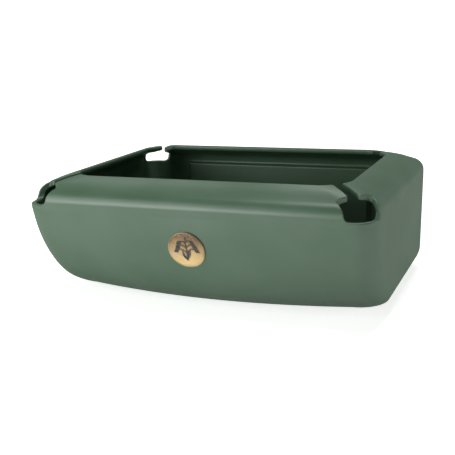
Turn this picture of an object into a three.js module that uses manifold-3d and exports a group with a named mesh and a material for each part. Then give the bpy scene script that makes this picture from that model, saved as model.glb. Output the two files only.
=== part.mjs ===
// Feed manger: a moulded trough with a broad sloping rim, four corner keyholes and a round badge
// Millimetres, +Z up, front wall towards -Y, origin on the floor under the middle of the trough

import * as THREE from 'three';
import Module from 'manifold-3d';
import { mergeVertices } from 'three/addons/utils/BufferGeometryUtils.js';

// Driving sizes of the trough
const length = 620;
const depth = 467;
const height = 232;
const wall = 9;
const gap = 0.3;

// Rim shelf, from the opening outwards
const shelfWidth = 59.5;
const shelfThickness = 11;
const rimEdgeHeight = 11;
const rimEdgeRadius = 4;
const shelfInnerSlope = THREE.MathUtils.degToRad(11.7);
const shelfOuterSlope = THREE.MathUtils.degToRad(29.4);
const shoulderRadius = 26;
const skirtHeight = 12.85;

// Front wall: a tilted flat, then a curve that lands level on the floor
const frontTilt = THREE.MathUtils.degToRad(14.7);
const frontFlatHeight = 24;
const frontSetBack = 174;
const frontCurveShare = 0.56;
const frontBow = 31.5;

// End and back walls, and the panel that is set in on the back wall, a margin in from the corners
const endDraft = THREE.MathUtils.degToRad(0.6);
const endBottomRadius = 42;
const backDraft = THREE.MathUtils.degToRad(2.5);
const backBottomRadius = 30;
const backPanelMargin = 14.6;
const backPanelStep = 10;
const stepRise = 2;

// Corners of the outline, seen from above
const openingCorner = 46;
const openingCornerFlatShare = 0.3;
const shoulderCorner = 36.5;
const floorCorner = 47.5;

// Corner keyholes: a broad notch through the shoulder and a narrow slot to the opening
const frontNotchWidth = 62;
const backNotchWidth = 48;
const backKeyholeShift = 12;
const notchInset = 27;
const notchDepth = 45;
const notchCornerRadius = 9;
const slotWidth = 18.5;
const cutOverrun = 30;

// Badge on the front wall
const badgeDiameter = 65;
const badgeDrop = 54.5;
const padDiameter = 58;
const padThickness = 1;
const plateThickness = 1.2;
const domeDiameter = 62;
const domeEdgeThickness = 0.6;
const domeRise = 1.4;

// Fineness of the curved faces
const cornerSteps = 6;
const frontSteps = 12;
const shelfSteps = 4;
const shoulderSteps = 5;
const curveSteps = 11;
const curveSamples = 240;
const badgeSpokes = 36;
const badgeRings = 5;

// Sizes that follow from the driving ones
const quarterTurn = Math.PI / 2;
const halfLength = length / 2;
const halfDepth = depth / 2;
const openingHalfLength = halfLength - shelfWidth;
const openingHalfDepth = halfDepth - shelfWidth;
const shoulderInset = shelfWidth - shoulderRadius;
const innerShoulderRadius = shoulderRadius - wall;
const crownWidth = shoulderInset + shoulderRadius * Math.sin(shelfOuterSlope);
const shoulderTop = height - crownDrop(crownWidth);
const shoulderCentre = shoulderTop - shoulderRadius * Math.cos(shelfOuterSlope);
const skirtBottom = shoulderCentre - skirtHeight;
const floorFlatHalfLength = halfLength - skirtBottom * Math.tan(endDraft) - endBottomRadius - floorCorner;
const panelEnd = floorFlatHalfLength - backPanelMargin;

// How far the shelf's top has dropped at a distance out from the opening
function crownDrop(out) {
  const share = Math.min(out / crownWidth, 1);
  const inner = Math.tan(shelfInnerSlope);
  const outer = Math.tan(shelfOuterSlope);
  return crownWidth * (inner * share + ((outer - inner) * share * share) / 2);
}

// Front wall's section as points: the set back from the skirt, and the drop below it
function frontSection() {
  const start = new THREE.Vector2(frontFlatHeight * Math.tan(frontTilt), frontFlatHeight);
  const end = new THREE.Vector2(frontSetBack, skirtBottom);
  const meet = new THREE.Vector2(skirtBottom * Math.tan(frontTilt), skirtBottom);
  const curve = new THREE.CubicBezierCurve(
    start,
    start.clone().lerp(meet, frontCurveShare),
    end.clone().lerp(meet, frontCurveShare),
    end,
  );
  return [new THREE.Vector2(0, 0), ...curve.getPoints(curveSamples)];
}

// The same section moved inwards by a thickness, square to the wall
function offsetSection(points, thickness) {
  return points.map((point, i) => {
    const before = points[Math.max(i - 1, 0)];
    const after = points[Math.min(i + 1, points.length - 1)];
    const along = after.clone().sub(before).normalize();
    return new THREE.Vector2(point.x + along.y * thickness, point.y - along.x * thickness);
  });
}

const outerFront = frontSection();
const innerFront = offsetSection(outerFront, wall);

// Set back of a front section at a height
function frontAt(section, z) {
  const drop = skirtBottom - z;
  const i = Math.max(section.findIndex((point) => point.y >= drop), 1);
  const share = (drop - section[i - 1].y) / (section[i].y - section[i - 1].y);
  return section[i - 1].x + (section[i].x - section[i - 1].x) * THREE.MathUtils.clamp(share, 0, 1);
}

// How far a rounded bottom edge has drawn in at a height above its floor
function edgeDraw(z, floor, radius) {
  const below = Math.max(floor + radius - z, 0);
  return radius - Math.sqrt(Math.max(radius * radius - below * below, 0));
}

// Extent of the walls at a height on the outer face, or on the inner face a wall's thickness in
function wallExtent(section, inset, z) {
  const drop = Math.max(skirtBottom - z, 0);
  const share = drop / skirtBottom;
  const endDraw = edgeDraw(z, inset, endBottomRadius - inset);
  const backDraw = edgeDraw(z, inset, backBottomRadius - inset);
  return {
    endX: halfLength - inset - drop * Math.tan(endDraft) - endDraw,
    frontY: -halfDepth + (drop > 0 ? frontAt(section, z) : inset),
    backY: halfDepth - inset - drop * Math.tan(backDraft) - backDraw,
    corner: shoulderCorner - inset + (floorCorner - shoulderCorner) * share,
    flatShare: 0,
    bow: frontBow * share,
    panelEnd,
  };
}

// Extent of the rim shelf at a distance out from the opening, a thickness in from the outer face
function rimExtent(out, inset) {
  const share = (out + inset) / shelfWidth;
  const endX = openingHalfLength + out;
  const corner = openingCorner - inset + (shoulderCorner - openingCorner) * share;
  return {
    endX,
    frontY: -openingHalfDepth - out,
    backY: openingHalfDepth + out,
    corner,
    flatShare: openingCornerFlatShare * (1 - share),
    bow: 0,
    panelEnd: (panelEnd * (endX - corner)) / (halfLength - shoulderCorner),
  };
}

// Points of one corner, between an arc and a flat cut
function cornerPoints(x, y, { corner, flatShare }, startAngle) {
  const points = [];
  for (let i = 0; i < cornerSteps; i += 1) {
    const share = i / (cornerSteps - 1);
    const across = Math.cos(share * quarterTurn) * (1 - flatShare) + (1 - share) * flatShare;
    const along = Math.sin(share * quarterTurn) * (1 - flatShare) + share * flatShare;
    const spoke = new THREE.Vector2(across, along).multiplyScalar(corner);
    spoke.rotateAround(new THREE.Vector2(0, 0), startAngle);
    points.push([x + spoke.x, y + spoke.y]);
  }
  return points;
}

// How far the bowed front stands out at a share of the way from the middle to the corner
function bowAt(bow, share) {
  return bow * (1 - share * share);
}

// One level outline, counterclockwise from above: front, right end, back, left end
function outline(extent, z, step) {
  const { endX, frontY, backY, corner, bow } = extent;
  const flatX = endX - corner;
  const slopeX = extent.panelEnd;
  const panelX = slopeX - backPanelStep;
  const points = [];
  for (let i = 1; i < frontSteps; i += 1) {
    const share = (2 * i) / frontSteps - 1;
    points.push([flatX * share, frontY - bowAt(bow, share)]);
  }
  points.push(...cornerPoints(flatX, frontY + corner, extent, -quarterTurn));
  points.push(...cornerPoints(flatX, backY - corner, extent, 0));
  points.push([slopeX, backY], [panelX, backY - step], [-panelX, backY - step], [-slopeX, backY]);
  points.push(...cornerPoints(-flatX, backY - corner, extent, quarterTurn));
  points.push(...cornerPoints(-flatX, frontY + corner, extent, 2 * quarterTurn));
  return points.map(([x, y]) => [x, y, z]);
}

// Heights from the floor up to just under a top, closer together near the floor
function wallLevels(floor, top) {
  const levels = [];
  for (let i = 0; i < curveSteps; i += 1) {
    levels.push(floor + (top - floor) * (1 - Math.cos((i / curveSteps) * quarterTurn)));
  }
  return levels;
}

// Outer face from the floor up to the shoulder, then the shelf in to the opening
function outerRings() {
  const panelTop = skirtBottom - stepRise;
  const rings = wallLevels(0, panelTop).map((z) => outline(wallExtent(outerFront, 0, z), z, backPanelStep));
  rings.push(outline(wallExtent(outerFront, 0, panelTop), panelTop, backPanelStep));
  rings.push(outline(wallExtent(outerFront, 0, skirtBottom), skirtBottom, 0));
  for (let i = 0; i <= shoulderSteps; i += 1) {
    const angle = quarterTurn + ((shelfOuterSlope - quarterTurn) * i) / shoulderSteps;
    const out = shoulderInset + shoulderRadius * Math.sin(angle);
    rings.push(outline(rimExtent(out, 0), shoulderCentre + shoulderRadius * Math.cos(angle), 0));
  }
  for (let i = shelfSteps - 1; i > 0; i -= 1) {
    const out = rimEdgeRadius + ((crownWidth - rimEdgeRadius) * i) / shelfSteps;
    rings.push(outline(rimExtent(out, 0), height - crownDrop(out), 0));
  }
  for (const angle of [quarterTurn, quarterTurn / 2, 0]) {
    const out = rimEdgeRadius * (1 - Math.cos(angle));
    const drop = crownDrop(out) + rimEdgeRadius * (1 - Math.sin(angle));
    rings.push(outline(rimExtent(out, 0), height - drop, 0));
  }
  return rings;
}

// Underside of the shelf from the opening out to the wall, then the inner face down to the floor
function innerRings() {
  const rimBottom = height - rimEdgeHeight;
  const edge = rimEdgeRadius / 2;
  const extent = (out) => rimExtent(out, (wall * out) / (shelfWidth - wall));
  const rings = [outline(extent(0), rimBottom + edge, 0), outline(extent(edge), rimBottom, 0)];
  const shelfEnd = shoulderInset + innerShoulderRadius * Math.sin(shelfOuterSlope);
  for (let i = 1; i < shelfSteps; i += 1) {
    const out = (shelfEnd * i) / shelfSteps;
    rings.push(outline(extent(out), height - crownDrop(out) - shelfThickness, 0));
  }
  for (let i = 1; i <= shoulderSteps; i += 1) {
    const angle = shelfOuterSlope + ((quarterTurn - shelfOuterSlope) * i) / shoulderSteps;
    const out = shoulderInset + innerShoulderRadius * Math.sin(angle);
    rings.push(outline(extent(out), shoulderCentre + innerShoulderRadius * Math.cos(angle), 0));
  }
  const ledge = skirtBottom + wall;
  const panelTop = ledge - stepRise;
  rings.push(outline(wallExtent(innerFront, wall, ledge), ledge, 0));
  rings.push(outline(wallExtent(innerFront, wall, panelTop), panelTop, backPanelStep));
  for (const z of wallLevels(wall, skirtBottom - stepRise).reverse()) {
    rings.push(outline(wallExtent(innerFront, wall, z), z, backPanelStep));
  }
  return rings;
}

// Closed surface through rings that share one count of points, capped flat at both ends
function loft(rings) {
  const count = rings[0].length;
  const index = [];
  for (let ring = 0; ring + 1 < rings.length; ring += 1) {
    for (let i = 0; i < count; i += 1) {
      const a = ring * count + i;
      const b = ring * count + ((i + 1) % count);
      index.push(a, b, b + count, a, b + count, a + count);
    }
  }
  addCap(rings[0], 0, true, index);
  addCap(rings[rings.length - 1], (rings.length - 1) * count, false, index);
  return surface(rings.flat(2), index);
}

// Flat triangles that close one end ring
function addCap(ring, first, facesDown, index) {
  const flat = ring.map(([x, y]) => new THREE.Vector2(x, y));
  for (const [a, b, c] of THREE.ShapeUtils.triangulateShape(flat, [])) {
    index.push(first + a, first + (facesDown ? c : b), first + (facesDown ? b : c));
  }
}

// Geometry from a list of coordinates and a list of triangle corners
function surface(positions, index) {
  const geometry = new THREE.BufferGeometry();
  geometry.setAttribute('position', new THREE.Float32BufferAttribute(positions, 3));
  geometry.setIndex(index);
  return geometry;
}

// A notch seen from its corner: level floor with rounded ends, open above the rim
function notchShape(width) {
  const half = width / 2;
  const middle = half - notchCornerRadius;
  const top = notchDepth + cutOverrun;
  const shape = new THREE.Shape();
  shape.moveTo(-half, top);
  shape.lineTo(-half, notchCornerRadius);
  shape.absarc(-middle, notchCornerRadius, notchCornerRadius, 2 * quarterTurn, 3 * quarterTurn);
  shape.absarc(middle, notchCornerRadius, notchCornerRadius, 3 * quarterTurn, 4 * quarterTurn);
  shape.lineTo(half, top);
  return shape;
}

// Cutters of the keyhole at one corner, drawn pointing along +X and then turned to the corner
function keyholeCutters(signX, signY) {
  const isBack = signY > 0;
  const floor = height - notchDepth;
  const reach = shelfWidth * Math.SQRT2 + cutOverrun;
  const notch = new THREE.ExtrudeGeometry(notchShape(isBack ? backNotchWidth : frontNotchWidth), {
    depth: reach - notchInset,
    bevelEnabled: false,
    curveSegments: cornerSteps,
  });
  notch.rotateX(quarterTurn);
  notch.rotateZ(quarterTurn);
  notch.translate(notchInset, 0, floor);
  const slotLength = openingCorner + notchInset + cutOverrun;
  const slotHeight = notchDepth + cutOverrun - notchCornerRadius;
  const slot = new THREE.BoxGeometry(slotLength, slotWidth, slotHeight);
  slot.translate(notchInset + gap - slotLength / 2, 0, floor + notchCornerRadius + slotHeight / 2);
  return [notch, slot].map((cutter) => {
    cutter.translate(0, isBack ? signX * signY * backKeyholeShift : 0, 0);
    cutter.rotateZ(Math.atan2(signY, signX));
    cutter.translate(signX * openingHalfLength, signY * openingHalfDepth, 0);
    return cutter;
  });
}

// Solid of the boolean library from a closed surface
function toSolid(geometry) {
  const bare = geometry.clone();
  bare.deleteAttribute('normal');
  bare.deleteAttribute('uv');
  const merged = mergeVertices(bare);
  return new wasm.Manifold(
    new wasm.Mesh({
      numProp: 3,
      vertProperties: new Float32Array(merged.attributes.position.array),
      triVerts: new Uint32Array(merged.index.array),
    }),
  );
}

// Trough with its four keyholes cut
function bodyGeometry() {
  let solid = toSolid(loft([...outerRings(), ...innerRings()]));
  for (const [signX, signY] of [[-1, -1], [1, -1], [1, 1], [-1, 1]]) {
    for (const cutter of keyholeCutters(signX, signY)) {
      solid = solid.subtract(toSolid(cutter));
    }
  }
  const mesh = solid.getMesh();
  return surface(Array.from(mesh.vertProperties), Array.from(mesh.triVerts));
}

// Front wall's outer face at a width and a height
function frontFace(x, z) {
  const { endX, frontY, corner, bow } = wallExtent(outerFront, 0, z);
  return frontY - bowAt(bow, x / (endX - corner));
}

// Point lifted off the front wall, square to its slope
function liftedPoint(x, z, lift) {
  const slope = (frontFace(x, z + wall) - frontFace(x, z - wall)) / (2 * wall);
  const size = Math.hypot(1, slope);
  return [x, frontFace(x, z) - lift / size, z - (lift * slope) / size];
}

// Round disc that follows the front wall, with its two faces at lifts that may vary to the edge
function badgeDisc(diameter, backLift, frontLift) {
  const radius = diameter / 2;
  const centreZ = skirtBottom - badgeDrop;
  const positions = [];
  const index = [];
  for (const [side, lift] of [backLift, frontLift].entries()) {
    const first = positions.length / 3;
    positions.push(...liftedPoint(0, centreZ, lift(0)));
    for (let ring = 1; ring <= badgeRings; ring += 1) {
      const share = ring / badgeRings;
      for (let i = 0; i < badgeSpokes; i += 1) {
        const angle = (4 * quarterTurn * i) / badgeSpokes;
        const x = radius * share * Math.cos(angle);
        const z = centreZ + radius * share * Math.sin(angle) * Math.cos(frontTilt);
        positions.push(...liftedPoint(x, z, lift(share)));
      }
    }
    addDiscFace(first, side === 0, index);
  }
  const backEdge = 1 + (badgeRings - 1) * badgeSpokes;
  const frontEdge = backEdge + 1 + badgeRings * badgeSpokes;
  for (let i = 0; i < badgeSpokes; i += 1) {
    const next = (i + 1) % badgeSpokes;
    index.push(backEdge + i, backEdge + next, frontEdge + next);
    index.push(backEdge + i, frontEdge + next, frontEdge + i);
  }
  return surface(positions, index);
}

// Triangles of one face of a disc: a fan at its centre, then rings
function addDiscFace(first, isBack, index) {
  const face = (a, b, c) => index.push(first + a, first + (isBack ? c : b), first + (isBack ? b : c));
  for (let i = 0; i < badgeSpokes; i += 1) {
    const next = (i + 1) % badgeSpokes;
    face(0, 1 + i, 1 + next);
    for (let ring = 1; ring < badgeRings; ring += 1) {
      const inner = 1 + (ring - 1) * badgeSpokes;
      const outer = inner + badgeSpokes;
      face(inner + i, outer + i, outer + next);
      face(inner + i, outer + next, inner + next);
    }
  }
}

// Named mesh with its own material
function piece(name, geometry, material) {
  const mesh = new THREE.Mesh(geometry, new THREE.MeshStandardMaterial(material));
  mesh.name = name;
  return mesh;
}

const wasm = await Module();
wasm.setup();

// Looks of the four pieces
const greenPlastic = { color: 0x56705c, roughness: 0.5, metalness: 0 };
const blackFoam = { color: 0x1e1e1e, roughness: 0.9, metalness: 0 };
const goldFoil = { color: 0xb59a5b, roughness: 0.35, metalness: 0.8 };
const clearResin = { color: 0xf4f2ea, roughness: 0.08, metalness: 0, transparent: true, opacity: 0.3 };

// Lifts of the badge's layers off the wall, with a gap under each
const padFront = gap + padThickness;
const plateBack = padFront + gap;
const plateFront = plateBack + plateThickness;
const domeBack = plateFront + gap;
const domeFront = (share) => domeBack + domeEdgeThickness + domeRise * (1 - share * share);

const manger = new THREE.Group();
manger.add(piece('manger_body', bodyGeometry(), greenPlastic));
manger.add(piece('badge_pad', badgeDisc(padDiameter, () => gap, () => padFront), blackFoam));
manger.add(piece('badge_plate', badgeDisc(badgeDiameter, () => plateBack, () => plateFront), goldFoil));
manger.add(piece('badge_dome', badgeDisc(domeDiameter, () => domeBack, domeFront), clearResin));

export default manger;
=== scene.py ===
import math

import bmesh
import bpy
from mathutils import Matrix, Vector


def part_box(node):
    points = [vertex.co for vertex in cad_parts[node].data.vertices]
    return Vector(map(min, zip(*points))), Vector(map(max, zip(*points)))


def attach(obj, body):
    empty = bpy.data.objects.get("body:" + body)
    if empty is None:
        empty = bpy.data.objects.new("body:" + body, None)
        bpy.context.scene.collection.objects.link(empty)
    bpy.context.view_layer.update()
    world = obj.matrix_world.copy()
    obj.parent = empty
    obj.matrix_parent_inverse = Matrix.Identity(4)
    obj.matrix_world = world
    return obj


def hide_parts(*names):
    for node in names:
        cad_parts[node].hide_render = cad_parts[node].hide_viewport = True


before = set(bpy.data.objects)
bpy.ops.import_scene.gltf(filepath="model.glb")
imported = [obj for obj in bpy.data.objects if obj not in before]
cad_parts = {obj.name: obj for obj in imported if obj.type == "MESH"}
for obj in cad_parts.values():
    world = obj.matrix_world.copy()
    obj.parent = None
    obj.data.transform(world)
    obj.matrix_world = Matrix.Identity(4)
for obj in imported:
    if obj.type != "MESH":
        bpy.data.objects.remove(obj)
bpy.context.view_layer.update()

bl_info = {
    "name": "Feed manger",
    "version": (1, 0, 0),
    "blender": (4, 5, 0),
    "location": "3D View > Sidebar > Feed manger",
    "description": "Moulded trough with a sloping rim, corner keyholes and a round domed badge",
    "category": "Object",
}

MILLIMETRE = 0.001
BODY = "root"
TROUGH_LOW, TROUGH_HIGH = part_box("manger_body")
PAD_LOW, PAD_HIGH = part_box("badge_pad")
PLATE_LOW, PLATE_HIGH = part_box("badge_plate")
DOME_LOW, DOME_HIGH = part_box("badge_dome")
QUARTER_TURN = math.pi / 2
FULL_TURN = 4 * QUARTER_TURN

# Fineness of the curved faces
FRONT_STEPS = 44
CORNER_STEPS = 18
END_STEPS = 8
PANEL_STEPS = 10
RAMP_STEPS = 6
WALL_STEPS = 34
SHELF_STEPS = 9
SHOULDER_STEPS = 9
EDGE_STEPS = 5
FILLET_STEPS = 5
ARC_STEPS = 7
SECTION_SAMPLES = 400
MERGE_DISTANCE = 0.9 * MILLIMETRE
BADGE_SPOKES = 96
BADGE_RINGS = 14
BEAD_SIDES = 16
STEM_STEPS = 24
TWIG_STEPS = 8
LEAF_STEPS = 12
SHARP_EDGE = math.radians(40)

# Material slots that tell the trough's cut faces from the others while it is built
PLAIN_SLOT, CUT_SLOT = 0, 1

# Badge: its edges, border and sprig, in shares of its radius
PLATE_EDGE_START = 0.96
PLATE_EDGE_WIDTH = 0.04
DOME_EDGE_POWER = 16
DOME_EDGE_LEAST = 0.02
BORDER_SHARE = 0.93
SPRIG_SHARE = 0.86
PLATE_ROUNDING = 0.35   # share of the plate's thickness
PRINT_CLEARANCE = 0.01 * MILLIMETRE

# Oat sprig, in shares of its own radius
STEM_LENGTH, STEM_DROP, STEM_SWAY, STEM_CURL = 1.34, 0.72, 0.05, 3
STEM_WIDTH, STEM_TAPER = 0.14, 0.05
TWIG_REACH, TWIG_SHORTENING, TWIG_WIDTH = 0.5, 0.12, 0.09
TWIG_LEVELS = 3

# Directions towards one side and up, the twig's two in shares of its reach
BLADE_DIRECTION = (0.62, 0.78)
GRAIN_DIRECTION = (0.85, -0.53)
TOP_DIRECTION = (0.12, 0.99)
TWIG_BEND = (0.5, 0.7)
TWIG_TIP = (1, 0.5)

# Steps of the stem where the blades and the lowest twigs start, and from one twig to the next
BLADE_STEP, TWIG_STEP, TWIG_SPACING = 2, 9, 6

# Leaf: with a belly below 1 it is fullest nearer its base, and its point is a share of its length
LEAF_BELLY = 0.8
LEAF_POINT = 0.02

# Painted shade inside the trough, a darker colour where its inside lies in shade: how its faces
# point away from the middle and up where the shade starts and where it is full, the heights of the
# same, in metres, and the tone as a multiple
PAINTED_SHADE_AWAY = (0.0, -0.03)
PAINTED_SHADE_UPWARD = (0.2, 0.6)
PAINTED_SHADE_HEIGHTS = (0.15, 0.11)
PAINTED_SHADE_TONE = 0.4

# Painted reflection on the badge: where the gold, paler below, turns to a darker bronze above, in
# radii above the badge's centre
PAINTED_REFLECTION_FADE = (-0.75, 0.7)

# Second tones, as multiples of a finish's colour
PORE_TONE = 0.5
THIN_INK_TONE = 1.8
FLOOR_TONE = 1.02


def length(name, description, millimetres):
    """Property that holds a length, given in millimetres."""
    return bpy.props.FloatProperty(
        name=name, description=description, default=millimetres * MILLIMETRE,
        min=0.0, unit="LENGTH", precision=4,
    )


def angle(name, description, degrees):
    """Property that holds an angle, given in degrees."""
    return bpy.props.FloatProperty(
        name=name, description=description, default=math.radians(degrees), unit="ROTATION"
    )


def colour(name, description, rgb):
    """Property that holds a colour, given as it shows on a screen, from 0 to 255."""
    return bpy.props.FloatVectorProperty(
        name=name, description=description, default=[linear(channel / 255) for channel in rgb],
        size=3, min=0.0, max=1.0, subtype="COLOR",
    )


def linear(value):
    """Linear light of a screen value."""
    return value / 12.92 if value <= 0.04045 else ((value + 0.055) / 1.055) ** 2.4


class MangerTroughSizes(bpy.types.PropertyGroup):
    """Sizes of the trough's walls, shelf and shoulder"""

    wall: length("Wall", "Thickness of the walls and floor", 9)
    shelf_width: length("Shelf width", "Rim shelf, from the opening out to the skirt", 59.5)
    shelf_thickness: length("Shelf thickness", "Thickness of the rim shelf", 11)
    crown: length("Crown height", "Height of the shelf's crown, before its edge is rounded", 232)
    rim_edge_height: length("Rim edge height", "Height of the edge around the opening", 11)
    rim_edge_radius: length("Rim edge radius", "Rounding of the edge around the opening", 4)
    inner_slope: angle("Inner slope", "Slope of the shelf at the opening", 11.7)
    outer_slope: angle("Outer slope", "Slope of the shelf where the shoulder starts", 29.4)
    shoulder_radius: length("Shoulder radius", "Rounding between the shelf and the skirt", 26)
    skirt_height: length("Skirt height", "Upright band below the shoulder", 12.85)
    front_tilt: angle("Front tilt", "Lean of the front wall below the skirt", 14.7)
    front_flat: length("Front flat", "Height of the flat part of the front wall", 24)
    front_set_back: length("Front set back", "How far back the front wall meets the floor", 174)
    front_curve_share: bpy.props.FloatProperty(
        name="Front curve", description="Fullness of the front wall's curve", default=0.56
    )
    front_bow: length("Front bow", "How far the front wall stands out at the floor's middle", 31.5)
    end_draft: angle("End draft", "Lean of the end walls", 0.6)
    end_radius: length("End radius", "Rounding between the end walls and the floor", 42)
    back_draft: angle("Back draft", "Lean of the back wall", 2.5)
    back_radius: length("Back radius", "Rounding between the back wall and the floor", 30)
    panel_half: length("Panel half length", "Half the length of the panel set in on the back", 194)
    panel_step: length("Panel step", "Depth of the panel that is set in on the back", 10)
    skirt_lean: length("Skirt lean", "How far the skirt's lower edge leans in at the front", 1.2)
    lean_reach: length("Lean reach", "How far down the front wall takes the lean up again", 45)
    step_rise: length("Step rise", "Rise of the ledge above the panel", 1.5)
    step_round: length("Step rounding", "Rounding of the ledge's two edges", 3)
    opening_corner: length("Opening corner", "Corner of the opening, seen from above", 46)
    corner_flat_share: bpy.props.FloatProperty(
        name="Corner flat", description="Share of the opening's corner cut flat", default=0.3
    )
    shoulder_corner: length("Shoulder corner", "Corner of the skirt, seen from above", 36.5)
    floor_corner: length("Floor corner", "Corner of the walls at the floor, seen from above", 47.5)


class MangerKeyholeSizes(bpy.types.PropertyGroup):
    """Sizes of the keyholes that are cut in the four corners"""

    front_width: length("Front notch width", "Width of a notch at the front", 62)
    back_width: length("Back notch width", "Width of a notch at the back", 48)
    back_shift: length("Back shift", "How far a back keyhole lies towards the back wall", 12)
    inset: length("Notch inset", "From the opening's corner out to the notch", 27)
    depth: length("Notch depth", "From the crown down to the notch's floor", 45)
    corner_radius: length("Notch corner", "Rounding of the notch's lower corners", 9)
    inner_radius: length("Notch inner corner", "Rounding of the notch's upright inner corners", 4)
    slot_width: length("Slot width", "Width of the slot between the notch and the opening", 18.5)
    lip_radius: length("Lip radius", "Rounding of the slot's upright outer corners", 5)
    edge_radius: length("Edge radius", "Rounding along every edge of the keyhole", 2.2)
    overrun: length("Overrun", "How far the cutters reach past the trough", 30)


class MangerBadgeSizes(bpy.types.PropertyGroup):
    """Sizes of the round badge on the front wall"""

    drop: length("Drop", "From the foot of the skirt down to the badge's centre", 54.5)
    gap: length("Gap", "Clearance between the layers", 0.3)
    pad: length("Pad thickness", "Thickness of the foam pad", 1)
    plate: length("Plate thickness", "Thickness of the gold plate", 1.2)
    dome_edge: length("Dome edge", "Thickness of the resin at its edge", 0.6)
    dome_rise: length("Dome rise", "How much thicker the resin is at its middle", 1.4)
    print_height: length("Print height", "Thickness of the printed design", 0.12)
    beads: bpy.props.IntProperty(
        name="Beads", description="Beads around the border", default=56, min=3
    )
    bead_radius: length("Bead radius", "Radius of a border bead", 0.8)


class MangerColours(bpy.types.PropertyGroup):
    """Colours of the manger"""

    green: colour("Green", "Main colour of the moulded plastic", (88, 117, 93))
    green_dark: colour("Green, dark", "Darker patches of the moulded plastic", (79, 110, 84))
    green_light: colour("Green, light", "Lighter patches of the moulded plastic", (97, 124, 103))
    foam: colour("Foam", "Adhesive pad", (30, 30, 30))
    # Badge colours: the foil is gold, and its paler lower part and darker bronze upper part are
    # painted reflection
    gold: colour("Gold", "Lower part of the badge", (226, 190, 112))
    bronze_painted_reflection: colour("Bronze", "Upper part of the badge", (98, 68, 10))
    ink: colour("Ink", "Printed design on the badge", (34, 22, 11))
    floor: colour("Floor", "Floor under the manger", (251, 251, 250))


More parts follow.
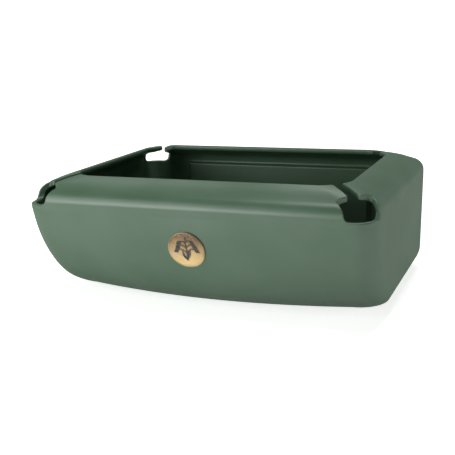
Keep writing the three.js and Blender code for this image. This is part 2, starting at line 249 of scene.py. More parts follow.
class TroughForm:
    """Curves of the trough, worked out from its sizes, in metres."""

    def __init__(self, sizes):
        self.s = sizes
        self.half_length = (TROUGH_HIGH.x - TROUGH_LOW.x) / 2
        self.half_depth = (TROUGH_HIGH.y - TROUGH_LOW.y) / 2
        self.height = sizes.crown
        self.opening_x = self.half_length - sizes.shelf_width
        self.opening_y = self.half_depth - sizes.shelf_width
        self.shoulder_inset = sizes.shelf_width - sizes.shoulder_radius
        self.inner_shoulder = sizes.shoulder_radius - sizes.wall
        self.crown_width = self.shoulder_inset + sizes.shoulder_radius * math.sin(sizes.outer_slope)
        top = self.height - self.crown_drop(self.crown_width)
        self.shoulder_centre = top - sizes.shoulder_radius * math.cos(sizes.outer_slope)
        self.skirt_bottom = self.shoulder_centre - sizes.skirt_height
        self.panel_end = sizes.panel_half + sizes.panel_step
        self.outer_front = self.front_section()
        self.inner_front = self.offset_section(self.outer_front, sizes.wall)

    def crown_drop(self, out):
        """How far the shelf's top has dropped at a distance out from the opening."""
        share = min(out / self.crown_width, 1)
        inner = math.tan(self.s.inner_slope)
        outer = math.tan(self.s.outer_slope)
        return self.crown_width * (inner * share + (outer - inner) * share * share / 2)

    def front_section(self):
        """Front wall's section: set back from the skirt, and drop below it."""
        s = self.s
        start = Vector((s.front_flat * math.tan(s.front_tilt), s.front_flat))
        end = Vector((s.front_set_back, self.skirt_bottom))
        meet = Vector((self.skirt_bottom * math.tan(s.front_tilt), self.skirt_bottom))
        first = start.lerp(meet, s.front_curve_share)
        second = end.lerp(meet, s.front_curve_share)
        points = [Vector((0, 0))]
        for i in range(SECTION_SAMPLES + 1):
            points.append(bezier(start, first, second, end, i / SECTION_SAMPLES))
        return points

    def offset_section(self, points, thickness):
        """The same section moved inwards, square to the wall."""
        moved = []
        for i, point in enumerate(points):
            before = points[max(i - 1, 0)]
            after = points[min(i + 1, len(points) - 1)]
            along = (after - before).normalized()
            moved.append(Vector((point.x + along.y * thickness, point.y - along.x * thickness)))
        return moved

    def front_at(self, section, z):
        """Set back of a front section at a height."""
        drop = self.skirt_bottom - z
        i = max(next((k for k, point in enumerate(section) if point.y >= drop), 1), 1)
        share = (drop - section[i - 1].y) / (section[i].y - section[i - 1].y)
        return section[i - 1].x + (section[i].x - section[i - 1].x) * min(max(share, 0), 1)

    def skirt_lean(self, z):
        """How far the skirt leans in at the front, easing out down the wall without a crease."""
        drop = self.skirt_bottom - z
        if drop < 0:
            return self.s.skirt_lean * max(1 + drop / self.s.skirt_height, 0)
        return self.s.skirt_lean * max(1 - drop / self.s.lean_reach, 0) ** 2

    def wall_extent(self, section, inset, z):
        """Extent of the walls at a height, on the outer face or a wall's thickness in."""
        s = self.s
        drop = max(self.skirt_bottom - z, 0)
        share = drop / self.skirt_bottom
        end_draw = edge_draw(z, inset, s.end_radius - inset)
        back_draw = edge_draw(z, inset, s.back_radius - inset)
        set_back = self.front_at(section, z) if drop > 0 else inset
        return {
            "end_x": self.half_length - inset - drop * math.tan(s.end_draft) - end_draw,
            "front_y": set_back + self.skirt_lean(z) - self.half_depth,
            "back_y": self.half_depth - inset - drop * math.tan(s.back_draft) - back_draw,
            "corner": s.shoulder_corner - inset + (s.floor_corner - s.shoulder_corner) * share,
            "flat_share": 0,
            "bow": s.front_bow * share,
            "panel_end": self.panel_end,
        }

    def rim_extent(self, out, inset):
        """Extent of the rim shelf at a distance out from the opening."""
        s = self.s
        share = (out + inset) / s.shelf_width
        end_x = self.opening_x + out
        corner = s.opening_corner - inset + (s.shoulder_corner - s.opening_corner) * share
        return {
            "end_x": end_x,
            "front_y": -self.opening_y - out,
            "back_y": self.opening_y + out,
            "corner": corner,
            "flat_share": s.corner_flat_share * (1 - share),
            "bow": 0,
            "panel_end": self.panel_end * (end_x - corner) / (self.half_length - s.shoulder_corner),
        }

    def outline(self, extent, z, step=0):
        """One level outline, counterclockwise from above."""
        end_x, front_y, back_y = extent["end_x"], extent["front_y"], extent["back_y"]
        corner, bow, slope_x = extent["corner"], extent["bow"], extent["panel_end"]
        flat_x = end_x - corner
        panel_x = slope_x - self.s.panel_step
        reach = back_y - front_y - 2 * corner
        ends = [i / END_STEPS for i in range(1, END_STEPS)]
        points = []
        for i in range(1, FRONT_STEPS):
            share = 2 * i / FRONT_STEPS - 1
            points.append((flat_x * share, front_y - bow * (1 - share * share)))
        points += corner_points(flat_x, front_y + corner, extent, -QUARTER_TURN)
        points += [(end_x, front_y + corner + reach * share) for share in ends]
        points += corner_points(flat_x, back_y - corner, extent, 0)
        ramp = []
        for i in range(RAMP_STEPS):
            share = i / (RAMP_STEPS - 1)
            ramp.append((slope_x - self.s.panel_step * share, back_y - step * smooth(share)))
        panel = [panel_x * (1 - 2 * i / PANEL_STEPS) for i in range(1, PANEL_STEPS)]
        points += ramp + [(x, back_y - step) for x in panel]
        points += [(-x, y) for x, y in reversed(ramp)]
        points += corner_points(-flat_x, back_y - corner, extent, QUARTER_TURN)
        points += [(-end_x, back_y - corner - reach * share) for share in ends]
        points += corner_points(-flat_x, front_y + corner, extent, 2 * QUARTER_TURN)
        return [(x, y, z) for x, y in points]

    def ledge(self, section, inset, low, high):
        """Outlines over the ledge above the set-in panel, with both of its edges rounded."""
        s = self.s
        depth = s.panel_step
        r = s.step_round
        rings = []
        corners = (
            ((depth, low - r), (depth, low), (depth - r, low + (high - low) * r / depth)),
            ((r, high - (high - low) * r / depth), (0, high), (0, high + r)),
        )
        for start, middle, end in corners:
            for i in range(ARC_STEPS):
                step, z = bezier2(Vector(start), Vector(middle), Vector(end), i / (ARC_STEPS - 1))
                rings.append(self.outline(self.wall_extent(section, inset, z), z, step))
        return rings

    def outer_rings(self):
        """Outer face from the floor up to the shoulder, then the shelf in to the opening."""
        s = self.s
        low = self.skirt_bottom - s.step_rise
        rings = []
        for z in wall_levels(0, low - s.step_round):
            level = self.wall_extent(self.outer_front, 0, z)
            rings.append(self.outline(level, z, s.panel_step))
        rings += self.ledge(self.outer_front, 0, low, self.skirt_bottom)
        rim = []
        for i in range(SHOULDER_STEPS + 1):
            turn = QUARTER_TURN + (s.outer_slope - QUARTER_TURN) * i / SHOULDER_STEPS
            out = self.shoulder_inset + s.shoulder_radius * math.sin(turn)
            rim.append((out, self.shoulder_centre + s.shoulder_radius * math.cos(turn)))
        for i in range(SHELF_STEPS - 1, 0, -1):
            out = s.rim_edge_radius + (self.crown_width - s.rim_edge_radius) * i / SHELF_STEPS
            rim.append((out, self.height - self.crown_drop(out)))
        for i in range(EDGE_STEPS + 1):
            turn = QUARTER_TURN * (1 - i / EDGE_STEPS)
            out = s.rim_edge_radius * (1 - math.cos(turn))
            drop = self.crown_drop(out) + s.rim_edge_radius * (1 - math.sin(turn))
            rim.append((out, self.height - drop))
        return rings + [self.outline(self.rim_extent(out, 0), z) for out, z in rim]

    def inner_rings(self):
        """Underside of the shelf out to the wall, then the inner face down to the floor."""
        s = self.s
        bottom = self.height - s.rim_edge_height
        shelf_end = self.shoulder_inset + self.inner_shoulder * math.sin(s.outer_slope)
        rim = []
        for i in range(EDGE_STEPS + 1):
            turn = QUARTER_TURN * i / EDGE_STEPS
            out = s.rim_edge_radius * (1 - math.cos(turn))
            rim.append((out, bottom + s.rim_edge_radius * (1 - math.sin(turn))))
        for i in range(1, SHELF_STEPS):
            out = s.rim_edge_radius + (shelf_end - s.rim_edge_radius) * i / SHELF_STEPS
            rim.append((out, self.height - self.crown_drop(out) - s.shelf_thickness))
        for i in range(1, SHOULDER_STEPS + 1):
            turn = s.outer_slope + (QUARTER_TURN - s.outer_slope) * i / SHOULDER_STEPS
            out = self.shoulder_inset + self.inner_shoulder * math.sin(turn)
            rim.append((out, self.shoulder_centre + self.inner_shoulder * math.cos(turn)))
        rings = []
        for out, z in rim:
            inset = s.wall * out / (s.shelf_width - s.wall)
            rings.append(self.outline(self.rim_extent(out, inset), z))
        high = self.skirt_bottom + s.wall
        low = high - s.step_rise
        rings += list(reversed(self.ledge(self.inner_front, s.wall, low, high)))
        for z in reversed(wall_levels(s.wall, low - s.step_round)):
            level = self.wall_extent(self.inner_front, s.wall, z)
            rings.append(self.outline(level, z, s.panel_step))
        return rings

    def front_face(self, x, z):
        """Front wall's outer face at a width and a height."""
        extent = self.wall_extent(self.outer_front, 0, z)
        share = x / (extent["end_x"] - extent["corner"])
        return extent["front_y"] - extent["bow"] * (1 - share * share)

    def on_front(self, x, z, lift):
        """Point lifted off the front wall, square to its slope."""
        reach = self.s.wall
        slope = (self.front_face(x, z + reach) - self.front_face(x, z - reach)) / (2 * reach)
        size = math.hypot(1, slope)
        return (x, self.front_face(x, z) - lift / size, z - lift * slope / size)


def bezier(a, b, c, d, t):
    """Point of a cubic curve."""
    u = 1 - t
    return a * u**3 + b * (3 * u * u * t) + c * (3 * u * t * t) + d * t**3


def bezier2(a, b, c, t):
    """Point of a quadratic curve."""
    u = 1 - t
    return a * u * u + b * (2 * u * t) + c * t * t


def smooth(t):
    """Ramp from 0 to 1 that starts and ends level."""
    return t * t * (3 - 2 * t)


def edge_draw(z, floor, radius):
    """How far a rounded bottom edge has drawn in at a height above its floor."""
    below = max(floor + radius - z, 0)
    return radius - math.sqrt(max(radius * radius - below * below, 0))


def wall_levels(floor, top):
    """Heights from the floor up to just under a top, closer together near the floor."""
    turns = [i / WALL_STEPS * QUARTER_TURN for i in range(WALL_STEPS)]
    return [floor + (top - floor) * (1 - math.cos(turn)) for turn in turns]


def corner_points(x, y, extent, start):
    """Points of one corner, between an arc and a flat cut."""
    flat = extent["flat_share"]
    cos, sin = math.cos(start), math.sin(start)
    points = []
    for i in range(CORNER_STEPS):
        share = i / (CORNER_STEPS - 1)
        across = math.cos(share * QUARTER_TURN) * (1 - flat) + (1 - share) * flat
        along = math.sin(share * QUARTER_TURN) * (1 - flat) + share * flat
        across, along = across * extent["corner"], along * extent["corner"]
        points.append((x + across * cos - along * sin, y + across * sin + along * cos))
    return points


def loft(rings):
    """Corners and faces of a closed surface through rings, capped at both ends."""
    count = len(rings[0])
    faces = []
    for ring in range(len(rings) - 1):
        for i in range(count):
            a = ring * count + i
            b = ring * count + (i + 1) % count
            faces.append((a, b, b + count, a + count))
    last = (len(rings) - 1) * count
    faces.append(tuple(reversed(range(count))))
    faces.append(tuple(range(last, last + count)))
    return [point for ring in rings for point in ring], faces


def new_object(name, corners, faces):
    """Object at the origin from corners and faces."""
    mesh = bpy.data.meshes.new(name)
    mesh.from_pydata([tuple(c) for c in corners], [], faces)
    mesh.validate()
    made = bpy.data.objects.new(name, mesh)
    bpy.context.scene.collection.objects.link(made)
    return made


def outward(made):
    """Turns an object's faces outward."""
    bm = bmesh.new()
    bm.from_mesh(made.data)
    bmesh.ops.recalc_face_normals(bm, faces=bm.faces)
    bm.to_mesh(made.data)
    bm.free()


def finished(made, name):
    """Plain mesh object from an object with modifiers, which is removed."""
    depsgraph = bpy.context.evaluated_depsgraph_get()
    mesh = bpy.data.meshes.new_from_object(made.evaluated_get(depsgraph))
    mesh.name = name
    bpy.data.objects.remove(made)
    plain = bpy.data.objects.new(name, mesh)
    bpy.context.scene.collection.objects.link(plain)
    return plain


def place(piece, slot, *nodes):
    """Gives a piece its body and hides the solids that it stands for; its slot is not used."""
    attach(piece, BODY)
    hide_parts(*nodes)


def turned_to_corner(points, form, keyholes, sign_x, sign_y):
    """Points drawn outward along +X, turned and moved to one corner of the opening."""
    shift = keyholes.back_shift * sign_x * sign_y if sign_y > 0 else 0
    turn = Matrix.Rotation(math.atan2(sign_y, sign_x), 3, "Z")
    origin = Vector((sign_x * form.opening_x, sign_y * form.opening_y, 0))
    return [origin + turn @ (Vector(p) + Vector((0, shift, 0))) for p in points]


def slot_cutter(form, keyholes, sign_x, sign_y):
    """Prism of the slot, flared to the notch, larger all round by the edge radius."""
    k = keyholes
    edge = k.edge_radius
    half = k.slot_width / 2 + edge
    back = k.inset - edge
    r = k.lip_radius - edge
    side = []
    for i in range(ARC_STEPS + 1):
        turn = QUARTER_TURN * i / ARC_STEPS
        side.append((back - r + r * math.sin(turn), half + r * (1 - math.cos(turn))))
    start = (-form.s.opening_corner - k.overrun, half)
    end = (back + k.corner_radius, half + r)
    plan = [start, *side, end]
    plan += [(u, -v) for u, v in reversed(plan)]
    low = form.height - k.depth + k.corner_radius
    high = form.height + k.overrun
    rings = [[(u, v, z) for u, v in plan] for z in (low, high)]
    rings = [turned_to_corner(ring, form, k, sign_x, sign_y) for ring in rings]
    return new_object("slot_cutter", *loft(rings))


def notch_cutter(form, keyholes, sign_x, sign_y):
    """Prism of the notch with rounded lower and inner corners, larger all round."""
    k = keyholes
    edge = k.edge_radius
    half = (k.back_width if sign_y > 0 else k.front_width) / 2 + edge
    floor = form.height - k.depth - edge
    r = k.corner_radius + edge
    top = form.height + k.overrun
    inner = k.inner_radius + edge
    reach = form.s.shelf_width * math.sqrt(2) + k.overrun
    stations = []
    for i in range(ARC_STEPS + 1):
        turn = QUARTER_TURN * i / ARC_STEPS
        out = k.inset - edge + inner * (1 - math.cos(turn))
        stations.append((out, inner * (1 - math.sin(turn))))
    stations.append((reach, 0))
    rings = []
    for u, narrower in stations:
        side = half - narrower
        ring = [(u, -side, top)]
        for i in range(ARC_STEPS + 1):
            turn = QUARTER_TURN * i / ARC_STEPS
            ring.append((u, -side + r * (1 - math.cos(turn)), floor + r * (1 - math.sin(turn))))
        ring += [(u, -v, z) for _, v, z in reversed(ring)]
        rings.append(turned_to_corner(ring, form, k, sign_x, sign_y))
    return new_object("notch_cutter", *loft(rings))


def rounded_cut_faces(mesh, radius):
    """Insets the cut faces step by step along a quarter circle, which rounds their edges.

    The corners to merge are listed in the mesh's own order, so that each run gives the same mesh.
    """
    bm = bmesh.new()
    bm.from_mesh(mesh)
    border = [v for v in bm.verts if any(f.material_index == CUT_SLOT for f in v.link_faces)]
    bmesh.ops.remove_doubles(bm, verts=border, dist=MERGE_DISTANCE)
    depth, thickness = 0, 0
    for i in range(1, FILLET_STEPS + 1):
        turn = QUARTER_TURN * i / FILLET_STEPS
        new_depth, new_thickness = radius * math.sin(turn), radius * (1 - math.cos(turn))
        made = bmesh.ops.inset_region(
            bm, faces=[f for f in bm.faces if f.material_index == CUT_SLOT],
            use_boundary=True, use_even_offset=False,
            thickness=new_thickness - thickness, depth=new_depth - depth,
        )
        for f in made["faces"]:
            f.material_index = PLAIN_SLOT
        depth, thickness = new_depth, new_thickness
    for f in bm.faces:
        f.material_index = PLAIN_SLOT
        f.smooth = True
    bm.to_mesh(mesh)
    bm.free()


def node(tree, kind, inputs=None, **settings):
    """Adds a node with its settings, and feeds its inputs."""
    made = tree.nodes.new(kind)
    for key, value in settings.items():
        setattr(made, key, value)
    feed(tree, made, inputs or {})
    return made


def feed(tree, fed, inputs):
    """Gives a node's inputs, by name or number, a value or another node's output."""
    for key, value in inputs.items():
        if isinstance(value, bpy.types.NodeSocket):
            tree.links.new(value, fed.inputs[key])
        else:
            fed.inputs[key].default_value = value


def new_material(name):
    """Empty material with a surface shader and its output."""
    material = bpy.data.materials.new(name)
    material.use_nodes = True
    tree = material.node_tree
    tree.nodes.clear()
    shader = node(tree, "ShaderNodeBsdfPrincipled")
    output = node(tree, "ShaderNodeOutputMaterial", {"Surface": shader.outputs[0]})
    return material, tree, shader, output


def object_coords(tree):
    """Places on the piece itself, in metres."""
    return node(tree, "ShaderNodeTexCoord").outputs["Object"]


def noise(tree, coords, scale, detail=2.0):
    """Noise texture at a number of patches to the metre."""
    inputs = {"Vector": coords, "Scale": scale, "Detail": detail}
    return node(tree, "ShaderNodeTexNoise", inputs).outputs["Fac"]


def ranged(tree, value, start, end=(0.0, 1.0)):
    """Value brought from one range to another, and kept inside it."""
    inputs = {"Value": value, "From Min": start[0], "From Max": start[1]}
    inputs.update({"To Min": end[0], "To Max": end[1]})
    return node(tree, "ShaderNodeMapRange", inputs).outputs["Result"]


def computed(tree, operation, first, second, **settings):
    """Result of a calculation on two outputs."""
    inputs = {0: first, 1: second}
    return node(tree, "ShaderNodeMath", inputs, operation=operation, **settings).outputs[0]


def mixed(tree, factor, first, second):
    """Colour between two colours or colour outputs."""
    made = node(tree, "ShaderNodeMix", {"Factor": factor}, data_type="RGBA")
    sockets = [i for i, socket in enumerate(made.inputs) if socket.type == "RGBA"]
    for i, value in zip(sockets, (first, second)):
        linked = isinstance(value, bpy.types.NodeSocket)
        feed(tree, made, {i: value if linked else (*value, 1)})
    return next(socket for socket in made.outputs if socket.type == "RGBA")


def bump(tree, height, strength, distance, under=None):
    """Normal from a height output, laid over another normal where one is given."""
    inputs = {"Height": height, "Strength": strength, "Distance": distance}
    if under is not None:
        inputs["Normal"] = under
    return node(tree, "ShaderNodeBump", inputs).outputs[0]


def painted_shade_mask(tree):
    """Painted shade mask: rises from 0 to 1 down the inside of the trough, on the faces that look
    inward or up.
    """
    coords = node(tree, "ShaderNodeTexCoord").outputs
    height = node(tree, "ShaderNodeSeparateXYZ", {0: coords["Object"]}).outputs["Z"]
    upward = node(tree, "ShaderNodeSeparateXYZ", {0: coords["Normal"]}).outputs["Z"]
    inputs = {0: coords["Object"], 1: (1, 1, 0)}
    level = node(tree, "ShaderNodeVectorMath", inputs, operation="MULTIPLY").outputs["Vector"]
    inputs = {0: level, 1: coords["Normal"]}
    away = node(tree, "ShaderNodeVectorMath", inputs, operation="DOT_PRODUCT").outputs["Value"]
    inward = ranged(tree, away, PAINTED_SHADE_AWAY)
    inside = computed(tree, "MAXIMUM", inward, ranged(tree, upward, PAINTED_SHADE_UPWARD))
    return computed(tree, "MULTIPLY", inside, ranged(tree, height, PAINTED_SHADE_HEIGHTS))


def green_plastic(colours):
    """Satin moulded polyethylene: soft patches of tone and a fine orange peel, with painted shade
    darkening the inside of the trough.
    """
    material, tree, shader, _ = new_material("green_plastic")
    coords = object_coords(tree)
    patches = ranged(tree, noise(tree, coords, scale=9.0, detail=3.0), (0.35, 0.65))
    tone = mixed(tree, patches, colours.green_dark, colours.green_light)
    even = mixed(tree, 0.5, tone, colours.green)
    painted_shade = [channel * PAINTED_SHADE_TONE for channel in colours.green]
    peel = noise(tree, coords, scale=420.0)
    waves = noise(tree, coords, scale=16.0, detail=1.0)
    fine = bump(tree, peel, strength=0.12, distance=0.4 * MILLIMETRE)
    feed(tree, shader, {
        # Painted shade: the green turns darker down the inside of the trough, where it lies in
        # shade
        "Base Color": mixed(tree, painted_shade_mask(tree), even, painted_shade),
        "Roughness": ranged(tree, noise(tree, coords, scale=120.0), (0.3, 0.7), (0.5, 0.6)),
        "Specular IOR Level": 0.0,
        "Coat Weight": 0.15,
        "Coat IOR": 3.6,
        "Coat Roughness": 0.32,
        "Normal": bump(tree, waves, strength=0.25, distance=1.2 * MILLIMETRE, under=fine),
    })
    return material


def foam(colours):
    """Black adhesive foam with open pores."""
    material, tree, shader, _ = new_material("foam_pad")
    pores = noise(tree, object_coords(tree), scale=2200.0, detail=3.0)
    dark = [channel * PORE_TONE for channel in colours.foam]
    feed(tree, shader, {
        "Base Color": mixed(tree, pores, dark, colours.foam),
        "Roughness": 0.9,
        "Normal": bump(tree, pores, strength=0.6, distance=0.2 * MILLIMETRE),
    })
    return material


def gold_foil(colours, centre_z, radius):
    """Gold foil with a fine brushed grain; a painted reflection makes it paler low down and a
    darker bronze towards its top.
    """
    material, tree, shader, _ = new_material("gold_foil")
    coords = object_coords(tree)
    z = node(tree, "ShaderNodeSeparateXYZ", {0: coords}).outputs["Z"]
    # Painted reflection: the foil turns from paler gold low down to a darker bronze towards its top
    height = ranged(tree, z, [centre_z + share * radius for share in PAINTED_REFLECTION_FADE])
    cloud = ranged(tree, noise(tree, coords, scale=70.0, detail=3.0), (0.0, 1.0), (-0.3, 0.3))
    blend = computed(tree, "ADD", height, cloud, use_clamp=True)
    grain = noise(tree, coords, scale=900.0, detail=3.0)
    feed(tree, shader, {
        "Base Color": mixed(tree, blend, colours.gold, colours.bronze_painted_reflection),
        "Metallic": 0.55,
        "Roughness": ranged(tree, grain, (0.0, 1.0), (0.26, 0.42)),
        "Coat Weight": 1.0,
        "Coat Roughness": 0.06,
        "Normal": bump(tree, grain, strength=0.15, distance=0.05 * MILLIMETRE),
    })
    return material


def ink(colours):
    """Dark printing ink with a slightly uneven coat."""
    material, tree, shader, _ = new_material("badge_ink")
    coat = noise(tree, object_coords(tree), scale=1500.0)
    thin = [channel * THIN_INK_TONE for channel in colours.ink]
    feed(tree, shader, {
        "Base Color": mixed(tree, coat, colours.ink, thin),
        "Roughness": ranged(tree, coat, (0.0, 1.0), (0.3, 0.5)),
    })
    return material


def clear_resin():
    """Clear resin: lets the plate show and adds a sharp gloss, stronger at a low angle."""
    material, tree, shader, output = new_material("clear_resin")
    ripples = noise(tree, object_coords(tree), scale=60.0, detail=1.0)
    feed(tree, shader, {
        "Base Color": (0.95, 0.94, 0.9, 1),
        "Roughness": 0.08,
        "Transmission Weight": 1.0,
        "Normal": bump(tree, ripples, strength=0.1, distance=0.1 * MILLIMETRE),
    })
    through = node(tree, "ShaderNodeBsdfTransparent").outputs[0]
    facing = node(tree, "ShaderNodeLayerWeight", {"Blend": 0.28}).outputs["Facing"]
    gloss = ranged(tree, facing, (0.0, 1.0), (0.04, 0.3))
    shared = node(tree, "ShaderNodeMixShader", {"Fac": gloss, 1: through, 2: shader.outputs[0]})
    feed(tree, output, {"Surface": shared.outputs[0]})
    return material


class MANGER_OT_trough(bpy.types.Operator):
    """Build the moulded trough with its rim shelf and four corner keyholes"""

    bl_idname = "manger.trough"
    bl_label = "Trough"

    def execute(self, context):
        scene = context.scene
        form = TroughForm(scene.manger_trough)
        keyholes = scene.manger_keyholes
        body = new_object("trough", *loft(form.outer_rings() + form.inner_rings()))
        outward(body)
        plastic = green_plastic(scene.manger_colours)
        cut_mark = bpy.data.materials.new("cut_mark")
        body.data.materials.append(plastic)
        body.data.materials.append(cut_mark)
        cutters = []
        for sign_x, sign_y in ((-1, -1), (1, -1), (1, 1), (-1, 1)):
            for make in (slot_cutter, notch_cutter):
                cutter = make(form, keyholes, sign_x, sign_y)
                outward(cutter)
                cutter.data.materials.append(plastic)
                cutter.data.materials.append(cut_mark)
                for polygon in cutter.data.polygons:
                    polygon.material_index = CUT_SLOT
                cut = body.modifiers.new("cut", "BOOLEAN")
                cut.operation = "DIFFERENCE"
                cut.solver = "EXACT"
                cut.object = cutter
                cutters.append(cutter)
        body = finished(body, "trough")
        for cutter in cutters:
            bpy.data.objects.remove(cutter)
        rounded_cut_faces(body.data, keyholes.edge_radius)
        body.data.materials.clear()
        body.data.materials.append(plastic)
        normals = body.modifiers.new("normals", "WEIGHTED_NORMAL")
        normals.keep_sharp = True
        body = finished(body, "trough")
        place(body, "green_plastic", "manger_body")
        return {"FINISHED"}


def disc(name, form, centre_z, radius_x, radius_z, back, front):
    """Round disc on the front wall. Each face's lift is a function of the share of its radius."""
    corners = []
    faces = []
    firsts = []
    for lift in (back, front):
        first = len(corners)
        firsts.append(first)
        corners.append(form.on_front(0, centre_z, lift(0)))
        for ring in range(1, BADGE_RINGS + 1):
            share = 1 - (1 - ring / BADGE_RINGS) ** 2
            for i in range(BADGE_SPOKES):
                turn = FULL_TURN * i / BADGE_SPOKES
                x = radius_x * share * math.cos(turn)
                z = centre_z + radius_z * share * math.sin(turn)
                corners.append(form.on_front(x, z, lift(share)))
        for i in range(BADGE_SPOKES):
            after = (i + 1) % BADGE_SPOKES
            faces.append((first, first + 1 + i, first + 1 + after))
            for ring in range(1, BADGE_RINGS):
                inner = first + 1 + (ring - 1) * BADGE_SPOKES
                outer = inner + BADGE_SPOKES
                faces.append((inner + i, outer + i, outer + after, inner + after))
    low, high = (first + 1 + (BADGE_RINGS - 1) * BADGE_SPOKES for first in firsts)
    for i in range(BADGE_SPOKES):
        after = (i + 1) % BADGE_SPOKES
        faces.append((low + i, low + after, high + after, high + i))
    made = new_object(name, corners, faces)
    outward(made)
    for polygon in made.data.polygons:
        polygon.use_smooth = True
    made.data.set_sharp_from_angle(angle=SHARP_EDGE)
    return made


def border_tree(material):
    """Node tree: a ring of round beads in the badge's plane."""
    tree = bpy.data.node_groups.new("badge_border", "GeometryNodeTree")
    for name in ("Ring radius", "Bead radius", "Thickness"):
        tree.interface.new_socket(name, in_out="INPUT", socket_type="NodeSocketFloat")
    tree.interface.new_socket("Beads", in_out="INPUT", socket_type="NodeSocketInt")
    tree.interface.new_socket("Geometry", in_out="OUTPUT", socket_type="NodeSocketGeometry")
    given = node(tree, "NodeGroupInput").outputs
    ring = node(tree, "GeometryNodeMeshCircle", {
        "Radius": given["Ring radius"],
        "Vertices": given["Beads"],
    })
    bead = node(tree, "GeometryNodeMeshCylinder", {
        "Vertices": BEAD_SIDES,
        "Radius": given["Bead radius"],
        "Depth": given["Thickness"],
    })
    spread = node(tree, "GeometryNodeInstanceOnPoints", {
        "Points": ring.outputs["Mesh"],
        "Instance": bead.outputs["Mesh"],
    })
    real = node(tree, "GeometryNodeRealizeInstances", {
        "Geometry": spread.outputs["Instances"],
    })
    paint = node(tree, "GeometryNodeSetMaterial", {
        "Geometry": real.outputs["Geometry"],
        "Material": material,
    })
    node(tree, "NodeGroupOutput", {"Geometry": paint.outputs["Geometry"]})
    return tree


def ribbon(points, widths, thickness):
    """Thin closed strip along flat points, as corners and faces."""
    corners = []
    for i, point in enumerate(points):
        before = points[max(i - 1, 0)]
        after = points[min(i + 1, len(points) - 1)]
        along = (after - before).normalized()
        across = Vector((-along.y, along.x)) * widths[i] / 2
        for side in (1, -1):
            for z in (-thickness / 2, thickness / 2):
                flat = point + across * side
                corners.append((flat.x, flat.y, z))
    faces = []
    for i in range(len(points) - 1):
        a = 4 * i
        b = a + 4
        faces += [(a, a + 1, b + 1, b), (a + 2, b + 2, b + 3, a + 3)]
        faces += [(a + 1, a + 3, b + 3, b + 1), (a, b, b + 2, a + 2)]
    last = 4 * (len(points) - 1)
    faces += [(0, 2, 3, 1), (last, last + 1, last + 3, last + 2)]
    return corners, faces


def leaf(base, direction, size, fullness, thickness, bend):
    """Pointed leaf or grain from its base, along a direction."""
    side = Vector((-direction.y, direction.x))
    points = []
    widths = []
    for i in range(LEAF_STEPS + 1):
        share = i / LEAF_STEPS
        points.append(base + direction * (size * share) + side * (bend * size * share * share))
        width = size * fullness * math.sin(math.pi * share**LEAF_BELLY)
        widths.append(max(width, size * LEAF_POINT))
    return ribbon(points, widths, thickness)


def sprig(radius, thickness):
    """Oat sprig in the badge's plane: a stem, two blades and hanging grains on thin branches."""
    stem = []
    widths = []
    for i in range(STEM_STEPS + 1):
        t = i / STEM_STEPS
        height = (STEM_LENGTH * t - STEM_DROP) * radius
        stem.append(Vector((STEM_SWAY * math.sin(STEM_CURL * t) * radius, height)))
        widths.append(radius * (STEM_WIDTH - STEM_TAPER * i / STEM_STEPS))
    parts = [ribbon(stem, widths, thickness)]

    def add_leaf(base, direction, share, fullness, bend=0.0):
        parts.append(leaf(base, direction, share * radius, fullness, thickness, bend))

    for side in (-1, 1):
        blade = Vector((side * BLADE_DIRECTION[0], BLADE_DIRECTION[1])).normalized()
        add_leaf(stem[BLADE_STEP + side], blade, share=0.7, fullness=0.3, bend=side * 0.35)
    for level in range(TWIG_LEVELS):
        for side in (-1, 1):
            at = stem[TWIG_STEP + TWIG_SPACING * level + (side > 0)]
            reach = radius * (TWIG_REACH - TWIG_SHORTENING * level)
            bend = at + Vector((side * reach * TWIG_BEND[0], reach * TWIG_BEND[1]))
            tip = at + Vector((side * reach * TWIG_TIP[0], reach * TWIG_TIP[1]))
            twig = [bezier2(at, bend, tip, i / TWIG_STEPS) for i in range(TWIG_STEPS + 1)]
            parts.append(ribbon(twig, [radius * TWIG_WIDTH] * len(twig), thickness))
            grain = Vector((side * GRAIN_DIRECTION[0], GRAIN_DIRECTION[1]))
            add_leaf(tip, grain, share=0.4, fullness=0.7)
    add_leaf(stem[-1], Vector(TOP_DIRECTION), share=0.3, fullness=0.6)
    corners = []
    faces = []
    for part_corners, part_faces in parts:
        first = len(corners)
        corners += part_corners
        faces += [tuple(first + i for i in face) for face in part_faces]
    return corners, faces


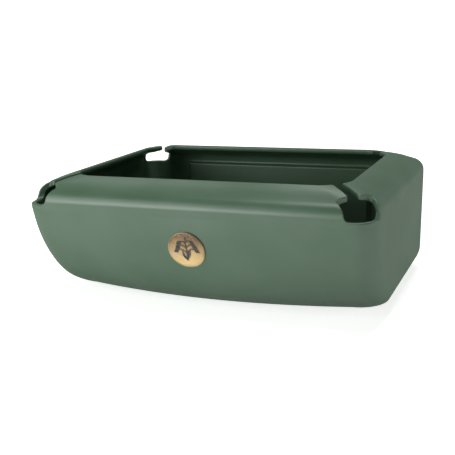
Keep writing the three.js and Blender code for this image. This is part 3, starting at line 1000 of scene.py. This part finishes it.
class MANGER_OT_badge(bpy.types.Operator):
    """Build the badge: foam pad, gold plate, printed sprig and border, and clear dome"""

    bl_idname = "manger.badge"
    bl_label = "Badge"

    def execute(self, context):
        scene = context.scene
        form = TroughForm(scene.manger_trough)
        sizes = scene.manger_badge
        colours = scene.manger_colours
        centre_z = form.skirt_bottom - sizes.drop
        tilt = math.cos(scene.manger_trough.front_tilt)
        pad_radius = (PAD_HIGH.x - PAD_LOW.x) / 2
        plate_radius = (PLATE_HIGH.x - PLATE_LOW.x) / 2
        dome_radius = (DOME_HIGH.x - DOME_LOW.x) / 2
        pad_front = sizes.gap + sizes.pad
        plate_back = pad_front + sizes.gap
        plate_front = plate_back + sizes.plate
        dome_back = plate_front + sizes.gap

        def plate_lift(share):
            past = max(share - PLATE_EDGE_START, 0)
            return plate_front - PLATE_ROUNDING * sizes.plate * past**2 / PLATE_EDGE_WIDTH**2

        def dome_lift(share):
            edge = math.sqrt(max(1 - share**DOME_EDGE_POWER, DOME_EDGE_LEAST))
            return dome_back + sizes.dome_edge * edge + sizes.dome_rise * (1 - share * share)

        pad = disc("foam_pad", form, centre_z, pad_radius, pad_radius * tilt,
                   lambda share: sizes.gap, lambda share: pad_front)
        pad.data.materials.append(foam(colours))
        place(pad, "foam_pad", "badge_pad")
        plate = disc("gold_plate", form, centre_z, plate_radius, plate_radius * tilt,
                     lambda share: plate_back, plate_lift)
        plate.data.materials.append(gold_foil(colours, centre_z, plate_radius))
        place(plate, "gold_foil", "badge_plate")
        self.add_print(form, sizes, colours, centre_z, tilt, plate_radius, plate_front)
        dome = disc("resin_dome", form, centre_z, dome_radius, dome_radius * tilt,
                    lambda share: dome_back, dome_lift)
        dome.data.materials.append(clear_resin())
        place(dome, "clear_resin", "badge_dome")
        return {"FINISHED"}

    def add_print(self, form, sizes, colours, centre_z, tilt, plate_radius, plate_front):
        """The border of beads and the sprig, laid on the plate."""
        printing = ink(colours)
        blank = new_object("border", [], [])
        modifier = blank.modifiers.new("border", "NODES")
        tree = border_tree(printing)
        modifier.node_group = tree
        values = {
            "Ring radius": BORDER_SHARE * plate_radius,
            "Bead radius": sizes.bead_radius,
            "Thickness": sizes.print_height,
            "Beads": sizes.beads,
        }
        for item in tree.interface.items_tree:
            if item.item_type == "SOCKET" and item.name in values:
                modifier[item.identifier] = values[item.name]
        border = finished(blank, "badge_border")
        drawn = new_object("badge_sprig", *sprig(SPRIG_SHARE * plate_radius, sizes.print_height))
        drawn.data.materials.append(printing)
        lift = plate_front + sizes.print_height / 2 + PRINT_CLEARANCE
        for piece in (border, drawn):
            for vertex in piece.data.vertices:
                x, y, z = vertex.co
                vertex.co = form.on_front(x, centre_z + y * tilt, lift + z)
            outward(piece)
            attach(piece, BODY)


# Camera of the photograph, worked out from its outline: place, axes and focal length
CAMERA_PLACE = (0.5628, -1.3835, 0.4865)
CAMERA_RIGHT = (0.9241, 0.3803, -0.0372)
CAMERA_UP = (-0.0605, 0.2417, 0.9685)
CAMERA_BACK = (0.3773, -0.8927, 0.2463)
CAMERA_LENS = 64.67
SENSOR = 36

# Soft lights: name, azimuth and elevation from the manger, distance, width, height, watts.
# Azimuth 0 is in front of the manger and 90 is at its right end.
LIGHTS = (
    ("front_left", -27, 5, 2.3, 1.2, 0.7, 14),
    ("side_left", -62, 18, 2.3, 0.9, 0.5, 5),
    ("front_high", -36, 24, 2.4, 1.2, 1.0, 8),
    ("right_low", 104, 3, 1.8, 1.0, 0.16, 5.5),
    ("above", 0, 84, 2.6, 1.2, 1.2, 23),
    ("back_high", 180, 50, 2.6, 1.4, 0.8, 17),
    ("back_left", -135, 45, 2.6, 1.0, 0.8, 6),
)
LIGHT_TARGET = (0, 0, 0.12)
SKY_STRENGTH = 0.05

# The floor glows less under the manger, up to the first distance, and is white past the second
FLOOR_GLOW = 0.76
GLOW_REACH = (0.7, 2.0)
BACKDROP_RADIUS = 9
BACKDROP_HEIGHT = 4
BACKDROP_SIDES = 64
WHITE = (1, 1, 1, 1)
BLACK = (0, 0, 0, 1)


def add_light(name, azimuth, elevation, distance, width, height, watts):
    """Soft rectangular light that faces the manger, kept out of the camera's sight."""
    light = bpy.data.lights.new(name, "AREA")
    light.shape = "RECTANGLE"
    light.size = width
    light.size_y = height
    light.energy = watts
    made = bpy.data.objects.new(name, light)
    turn = math.radians(azimuth)
    rise = math.radians(elevation)
    level = math.cos(rise)
    away = Vector((math.sin(turn) * level, -math.cos(turn) * level, math.sin(rise)))
    made.location = Vector(LIGHT_TARGET) + away * distance
    made.rotation_euler = away.to_track_quat("Z", "Y").to_euler()
    made.visible_camera = False
    bpy.context.scene.collection.objects.link(made)


def seen_white(tree, plain, white, output):
    """Shows the white shader to the camera, gloss and glass, and lights by the plain one."""
    path = node(tree, "ShaderNodeLightPath").outputs
    seen = path["Is Camera Ray"]
    for name in ("Is Glossy Ray", "Is Transmission Ray"):
        seen = computed(tree, "MAXIMUM", seen, path[name])
    pick = node(tree, "ShaderNodeMixShader", {"Fac": seen, 1: plain, 2: white})
    feed(tree, output, {"Surface": pick.outputs[0]})


def floor_material(colours):
    """Pale floor that shows white to the camera and keeps the manger's shadow."""
    material, tree, shader, output = new_material("floor")
    coords = object_coords(tree)
    paler = [min(channel * FLOOR_TONE, 1) for channel in colours.floor]
    feed(tree, shader, {
        "Base Color": mixed(tree, noise(tree, coords, scale=30.0), colours.floor, paler),
        "Roughness": 0.9,
    })
    reach = node(tree, "ShaderNodeVectorMath", {0: coords}, operation="LENGTH").outputs["Value"]
    strength = ranged(tree, reach, GLOW_REACH, (FLOOR_GLOW, 1.0))
    glow = node(tree, "ShaderNodeEmission", {"Color": WHITE, "Strength": strength})
    both = node(tree, "ShaderNodeAddShader", {0: shader.outputs[0], 1: glow.outputs[0]})
    seen_white(tree, shader.outputs[0], both.outputs[0], output)
    return material


def backdrop_material():
    """White wall round the stage that only shows, and gives no light of its own."""
    material, tree, shader, output = new_material("backdrop")
    feed(tree, shader, {"Base Color": BLACK, "Specular IOR Level": 0.0})
    white = node(tree, "ShaderNodeEmission", {"Color": WHITE, "Strength": 1.0})
    seen_white(tree, shader.outputs[0], white.outputs[0], output)
    return material


def world_light():
    """Dim even sky."""
    world = bpy.data.worlds.new("studio")
    world.use_nodes = True
    tree = world.node_tree
    tree.nodes.clear()
    sky = node(tree, "ShaderNodeBackground", {"Color": WHITE, "Strength": SKY_STRENGTH})
    node(tree, "ShaderNodeOutputWorld", {"Surface": sky.outputs[0]})
    bpy.context.scene.world = world


class MANGER_OT_stage(bpy.types.Operator):
    """Set the floor, the lights and the camera of the photograph"""

    bl_idname = "manger.stage"
    bl_label = "Stage"

    def execute(self, context):
        scene = context.scene
        rim = []
        sides = []
        for i in range(BACKDROP_SIDES):
            turn = FULL_TURN * i / BACKDROP_SIDES
            after = (i + 1) % BACKDROP_SIDES
            rim.append((BACKDROP_RADIUS * math.cos(turn), BACKDROP_RADIUS * math.sin(turn), 0))
            sides.append((i, i + BACKDROP_SIDES, after + BACKDROP_SIDES, after))
        floor = new_object("floor", rim, [tuple(range(BACKDROP_SIDES))])
        floor.data.materials.append(floor_material(scene.manger_colours))
        top = [(x, y, BACKDROP_HEIGHT) for x, y, _ in rim]
        backdrop = new_object("backdrop", rim + top, sides)
        backdrop.data.materials.append(backdrop_material())
        world_light()
        for light in LIGHTS:
            add_light(*light)
        camera = bpy.data.objects.new("camera", bpy.data.cameras.new("camera"))
        camera.data.lens = CAMERA_LENS
        camera.data.sensor_width = SENSOR
        axes = Matrix((CAMERA_RIGHT, CAMERA_UP, CAMERA_BACK)).transposed()
        camera.matrix_world = Matrix.Translation(CAMERA_PLACE) @ axes.to_4x4()
        scene.collection.objects.link(camera)
        scene.camera = camera
        scene.view_settings.view_transform = "Standard"
        return {"FINISHED"}


class MANGER_PT_panel(bpy.types.Panel):
    """Sizes, colours and build steps of the manger"""

    bl_idname = "MANGER_PT_panel"
    bl_label = "Feed manger"
    bl_space_type = "VIEW_3D"
    bl_region_type = "UI"
    bl_category = "Feed manger"

    def draw(self, context):
        for group in GROUPS:
            box = self.layout.box()
            box.label(text=group.__doc__)
            settings = getattr(context.scene, GROUPS[group])
            for name in group.__annotations__:
                box.prop(settings, name)
        for operator in OPERATORS:
            self.layout.operator(operator.bl_idname)


GROUPS = {
    MangerTroughSizes: "manger_trough",
    MangerKeyholeSizes: "manger_keyholes",
    MangerBadgeSizes: "manger_badge",
    MangerColours: "manger_colours",
}
OPERATORS = (MANGER_OT_trough, MANGER_OT_badge, MANGER_OT_stage)


def register():
    """Adds the sizes, the colours, the operators and the panel."""
    for group, name in GROUPS.items():
        bpy.utils.register_class(group)
        setattr(bpy.types.Scene, name, bpy.props.PointerProperty(type=group))
    for operator in OPERATORS:
        bpy.utils.register_class(operator)
    bpy.utils.register_class(MANGER_PT_panel)


def unregister():
    """Takes them away again."""
    bpy.utils.unregister_class(MANGER_PT_panel)
    for operator in reversed(OPERATORS):
        bpy.utils.unregister_class(operator)
    for group, name in reversed(list(GROUPS.items())):
        delattr(bpy.types.Scene, name)
        bpy.utils.unregister_class(group)


def main():
    """Builds the whole manger."""
    register()
    bpy.ops.manger.trough()
    bpy.ops.manger.badge()
    bpy.ops.manger.stage()


if __name__ == "__main__":
    main()
